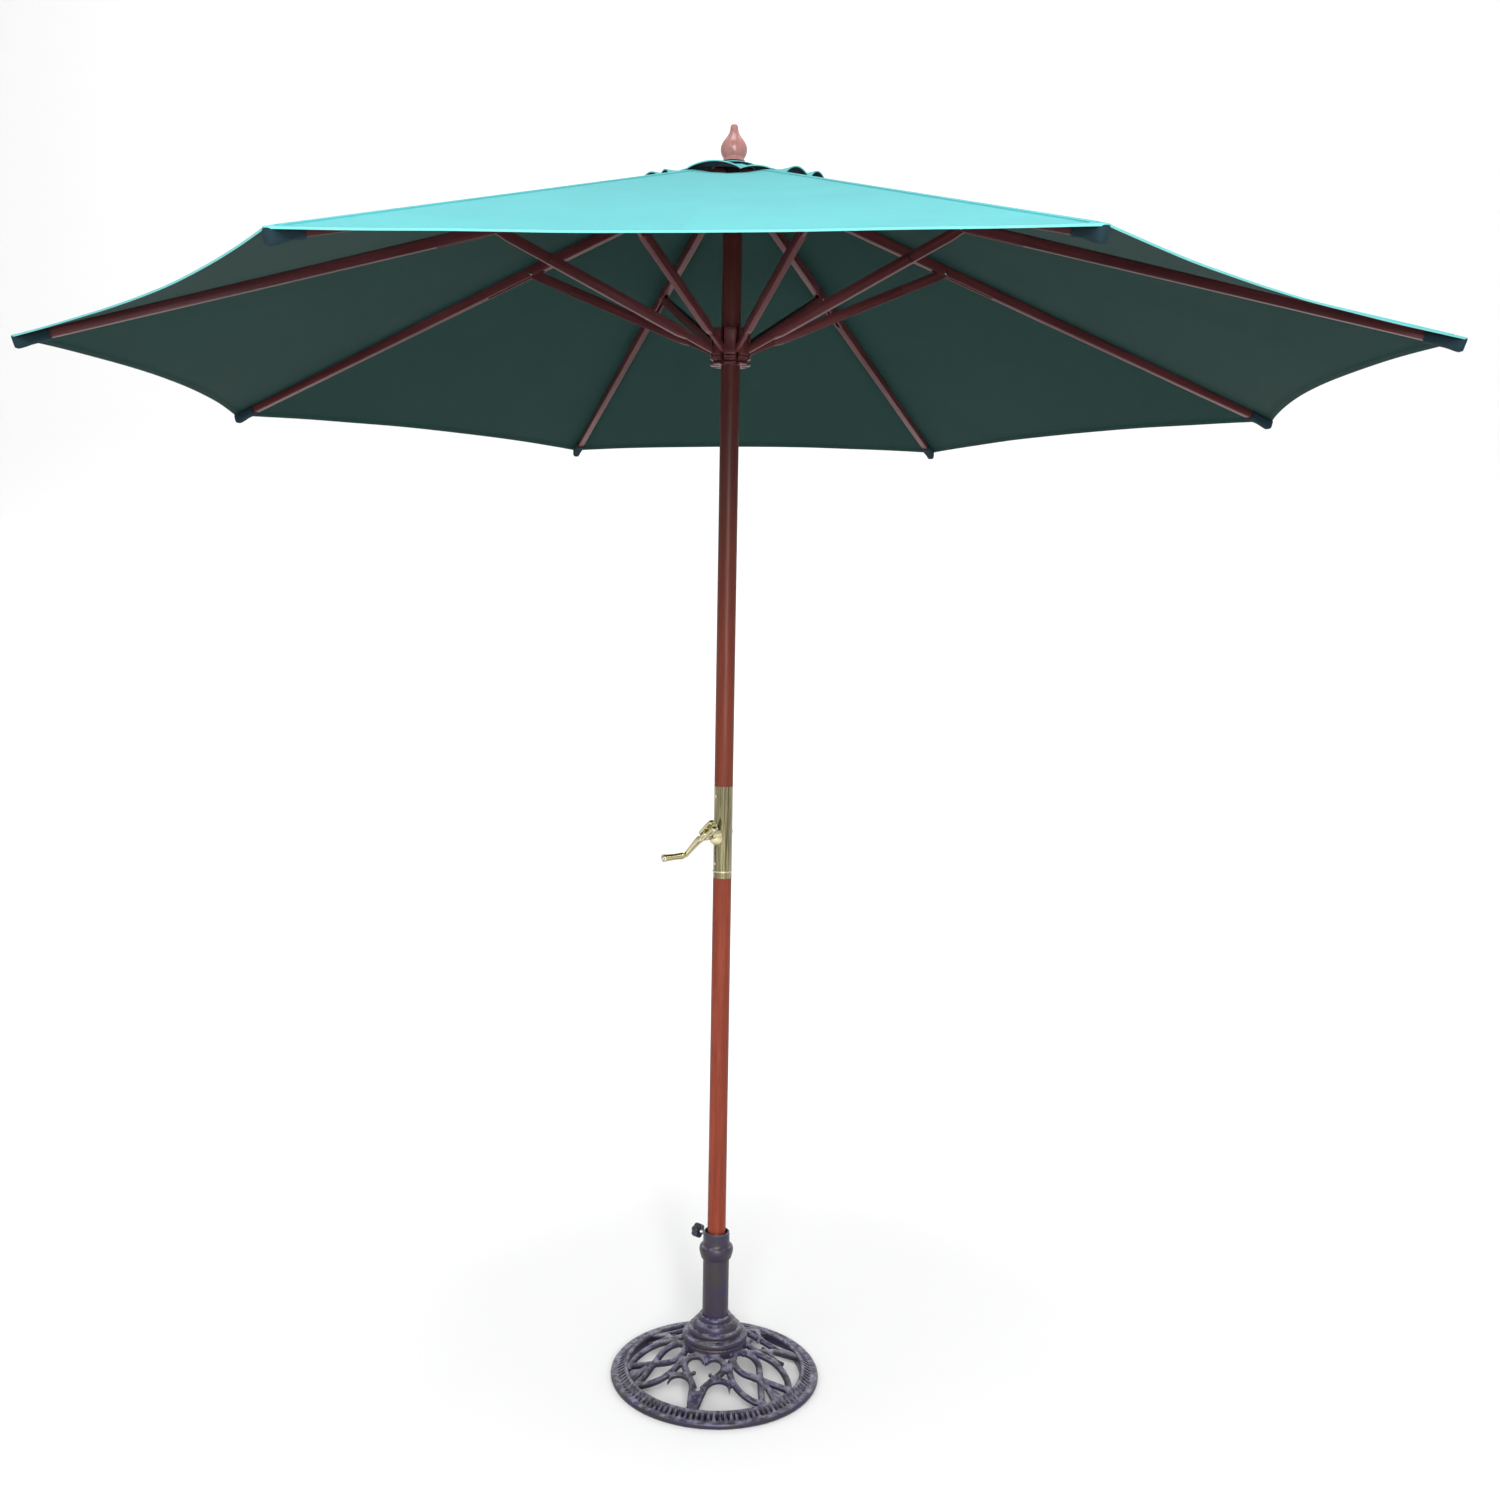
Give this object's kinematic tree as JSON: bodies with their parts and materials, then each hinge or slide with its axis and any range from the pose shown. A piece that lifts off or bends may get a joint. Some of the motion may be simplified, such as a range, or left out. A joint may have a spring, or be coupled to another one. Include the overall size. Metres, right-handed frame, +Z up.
{
  "type": "beach umbrella",
  "caption": "Wooden crank umbrella with a vented octagonal canopy, struts and runner, on a cast scrollwork base with a clamped socket.",
  "frame": {"origin": "on the floor at the centre of the base, on the pole's axis", "axes": "+Z up along the pole; -Y is the front, across the middle of one canopy panel"},
  "size_m": [2.402, 2.402, 2.549],
  "materials": {
    "cast_iron": "antique pewter paint over cast iron",
    "black_plastic": "moulded",
    "steel": "zinc plated",
    "brass": "pale brass plate",
    "pole_wood": "stained and varnished",
    "dark_wood": "stained and varnished",
    "canopy_cloth": "woven polyester",
    "cord": "braided cord"
  },
  "bodies": {
    "base": {"base_casting": "cast_iron", "bell_cover": "cast_iron", "base_column": "cast_iron", "socket_collar": "cast_iron", "socket_bush": "black_plastic", "column_plug": "steel", "column_bolt": "steel"},
    "clamp": {"clamp_knob": "black_plastic", "clamp_screw": "steel"},
    "pole": {"lower_pole": "pole_wood", "upper_pole": "pole_wood", "brass_sleeve": "brass", "sleeve_ring": "brass", "sleeve_screws": "brass", "crank_housing": "brass", "shaft_bushes": "brass", "pulley_pin": "steel", "lift_cord": "cord", "rib_hub": "dark_wood", "hub_pins": "brass", "crown_washer": "dark_wood", "finial": "dark_wood", "finial_stud": "steel", "vent_crown": "canopy_cloth"},
    "crank": {"crank_shaft": "steel", "cord_spool": "black_plastic", "crank_clevis": "brass", "clevis_pin": "steel"},
    "handle": {"crank_arm": "brass", "grip_rivet": "steel"},
    "grip": {"crank_grip": "brass"},
    "pulley": {"cord_pulley": "black_plastic"},
    "runner": {"runner": "dark_wood", "runner_collar": "dark_wood"},
    "rib_body_1": {"rib_1": "dark_wood", "canopy_1": "canopy_cloth"},
    "strut_body_1": {"strut_1": "dark_wood"},
    "rib_body_2": {"rib_2": "dark_wood", "canopy_2": "canopy_cloth"},
    "strut_body_2": {"strut_2": "dark_wood"},
    "rib_body_3": {"rib_3": "dark_wood", "canopy_3": "canopy_cloth"},
    "strut_body_3": {"strut_3": "dark_wood"},
    "rib_body_4": {"rib_4": "dark_wood", "canopy_4": "canopy_cloth"},
    "strut_body_4": {"strut_4": "dark_wood"},
    "rib_body_5": {"rib_5": "dark_wood", "canopy_5": "canopy_cloth"},
    "strut_body_5": {"strut_5": "dark_wood"},
    "rib_body_6": {"rib_6": "dark_wood", "canopy_6": "canopy_cloth"},
    "strut_body_6": {"strut_6": "dark_wood"},
    "rib_body_7": {"rib_7": "dark_wood", "canopy_7": "canopy_cloth"},
    "strut_body_7": {"strut_7": "dark_wood"},
    "rib_body_8": {"rib_8": "dark_wood", "canopy_8": "canopy_cloth"},
    "strut_body_8": {"strut_8": "dark_wood"}
  },
  "joints": [
    {"name": "pole_lift", "type": "slide", "parent": "base", "child": "pole", "axis": [0, 0, 1], "range_m": [0, 0.24]},
    {"name": "clamp_turn", "type": "hinge", "parent": "base", "child": "clamp", "pos_m": [0, 0, 0.3], "axis": [-0.7986, 0.6018, 0], "continuous": true},
    {"name": "runner_slide", "type": "slide", "parent": "pole", "child": "runner", "axis": [0, 0, 1], "range_m": [-0.58589, 0], "deforming": ["lift_cord"]},
    {"name": "rib_fold_1", "type": "hinge", "parent": "pole", "child": "rib_body_1", "pos_m": [0.03326, 0.01378, 2.447], "axis": [-0.3827, 0.9239, 0], "range_deg": [0, 66.05], "deforming": ["canopy_1"]},
    {"name": "strut_fold_1", "type": "hinge", "parent": "rib_body_1", "child": "strut_body_1", "pos_m": [0.42963, 0.17796, 2.3047], "axis": [-0.3827, 0.9239, 0], "range_deg": [-126.55, 0]},
    {"name": "rib_fold_2", "type": "hinge", "parent": "pole", "child": "rib_body_2", "pos_m": [0.01378, 0.03326, 2.447], "axis": [-0.9239, 0.3827, 0], "range_deg": [0, 66.05], "deforming": ["canopy_2"]},
    {"name": "strut_fold_2", "type": "hinge", "parent": "rib_body_2", "child": "strut_body_2", "pos_m": [0.17796, 0.42963, 2.3047], "axis": [-0.9239, 0.3827, 0], "range_deg": [-126.55, 0]},
    {"name": "rib_fold_3", "type": "hinge", "parent": "pole", "child": "rib_body_3", "pos_m": [-0.01378, 0.03326, 2.447], "axis": [-0.9239, -0.3827, 0], "range_deg": [0, 66.05], "deforming": ["canopy_3"]},
    {"name": "strut_fold_3", "type": "hinge", "parent": "rib_body_3", "child": "strut_body_3", "pos_m": [-0.17796, 0.42963, 2.3047], "axis": [-0.9239, -0.3827, 0], "range_deg": [-126.55, 0]},
    {"name": "rib_fold_4", "type": "hinge", "parent": "pole", "child": "rib_body_4", "pos_m": [-0.03326, 0.01378, 2.447], "axis": [-0.3827, -0.9239, 0], "range_deg": [0, 66.05], "deforming": ["canopy_4"]},
    {"name": "strut_fold_4", "type": "hinge", "parent": "rib_body_4", "child": "strut_body_4", "pos_m": [-0.42963, 0.17796, 2.3047], "axis": [-0.3827, -0.9239, 0], "range_deg": [-126.55, 0]},
    {"name": "rib_fold_5", "type": "hinge", "parent": "pole", "child": "rib_body_5", "pos_m": [-0.03326, -0.01378, 2.447], "axis": [0.3827, -0.9239, 0], "range_deg": [0, 66.05], "deforming": ["canopy_5"]},
    {"name": "strut_fold_5", "type": "hinge", "parent": "rib_body_5", "child": "strut_body_5", "pos_m": [-0.42963, -0.17796, 2.3047], "axis": [0.3827, -0.9239, 0], "range_deg": [-126.55, 0]},
    {"name": "rib_fold_6", "type": "hinge", "parent": "pole", "child": "rib_body_6", "pos_m": [-0.01378, -0.03326, 2.447], "axis": [0.9239, -0.3827, 0], "range_deg": [0, 66.05], "deforming": ["canopy_6"]},
    {"name": "strut_fold_6", "type": "hinge", "parent": "rib_body_6", "child": "strut_body_6", "pos_m": [-0.17796, -0.42963, 2.3047], "axis": [0.9239, -0.3827, 0], "range_deg": [-126.55, 0]},
    {"name": "rib_fold_7", "type": "hinge", "parent": "pole", "child": "rib_body_7", "pos_m": [0.01378, -0.03326, 2.447], "axis": [0.9239, 0.3827, 0], "range_deg": [0, 66.05], "deforming": ["canopy_7"]},
    {"name": "strut_fold_7", "type": "hinge", "parent": "rib_body_7", "child": "strut_body_7", "pos_m": [0.17796, -0.42963, 2.3047], "axis": [0.9239, 0.3827, 0], "range_deg": [-126.55, 0]},
    {"name": "rib_fold_8", "type": "hinge", "parent": "pole", "child": "rib_body_8", "pos_m": [0.03326, -0.01378, 2.447], "axis": [0.3827, 0.9239, 0], "range_deg": [0, 66.05], "deforming": ["canopy_8"]},
    {"name": "strut_fold_8", "type": "hinge", "parent": "rib_body_8", "child": "strut_body_8", "pos_m": [0.42963, -0.17796, 2.3047], "axis": [0.3827, 0.9239, 0], "range_deg": [-126.55, 0]},
    {"name": "crank_turn", "type": "hinge", "parent": "pole", "child": "crank", "pos_m": [0, 0, 1.155], "axis": [-0.7071, -0.7071, 0], "range_deg": [-3534.58, 0]},
    {"name": "pulley_turn", "type": "hinge", "parent": "pole", "child": "pulley", "pos_m": [0, 0.011, 2.398], "axis": [-1, 0, 0], "range_deg": [0, 2583.23]},
    {"name": "handle_fold", "type": "hinge", "parent": "crank", "child": "handle", "pos_m": [-0.03465, -0.03465, 1.155], "axis": [-0.4639, 0.4639, 0.7547], "range_deg": [0, 85]},
    {"name": "grip_spin", "type": "hinge", "parent": "handle", "child": "grip", "pos_m": [-0.07627, 0.00698, 1.10383], "axis": [-0.7071, -0.7071, 0], "continuous": true}
  ],
  "couplings": [
    {"joint": "rib_fold_1", "follows": "runner_slide", "rad_per_m": -1.967},
    {"joint": "strut_fold_1", "follows": "runner_slide", "rad_per_m": 3.7693},
    {"joint": "rib_fold_2", "follows": "runner_slide", "rad_per_m": -1.967},
    {"joint": "strut_fold_2", "follows": "runner_slide", "rad_per_m": 3.7693},
    {"joint": "rib_fold_3", "follows": "runner_slide", "rad_per_m": -1.967},
    {"joint": "strut_fold_3", "follows": "runner_slide", "rad_per_m": 3.7693},
    {"joint": "rib_fold_4", "follows": "runner_slide", "rad_per_m": -1.967},
    {"joint": "strut_fold_4", "follows": "runner_slide", "rad_per_m": 3.7693},
    {"joint": "rib_fold_5", "follows": "runner_slide", "rad_per_m": -1.967},
    {"joint": "strut_fold_5", "follows": "runner_slide", "rad_per_m": 3.7693},
    {"joint": "rib_fold_6", "follows": "runner_slide", "rad_per_m": -1.967},
    {"joint": "strut_fold_6", "follows": "runner_slide", "rad_per_m": 3.7693},
    {"joint": "rib_fold_7", "follows": "runner_slide", "rad_per_m": -1.967},
    {"joint": "strut_fold_7", "follows": "runner_slide", "rad_per_m": 3.7693},
    {"joint": "rib_fold_8", "follows": "runner_slide", "rad_per_m": -1.967},
    {"joint": "strut_fold_8", "follows": "runner_slide", "rad_per_m": 3.7693},
    {"joint": "crank_turn", "follows": "runner_slide", "rad_per_m": 105.26},
    {"joint": "pulley_turn", "follows": "runner_slide", "rad_per_m": -76.923}
  ]
}
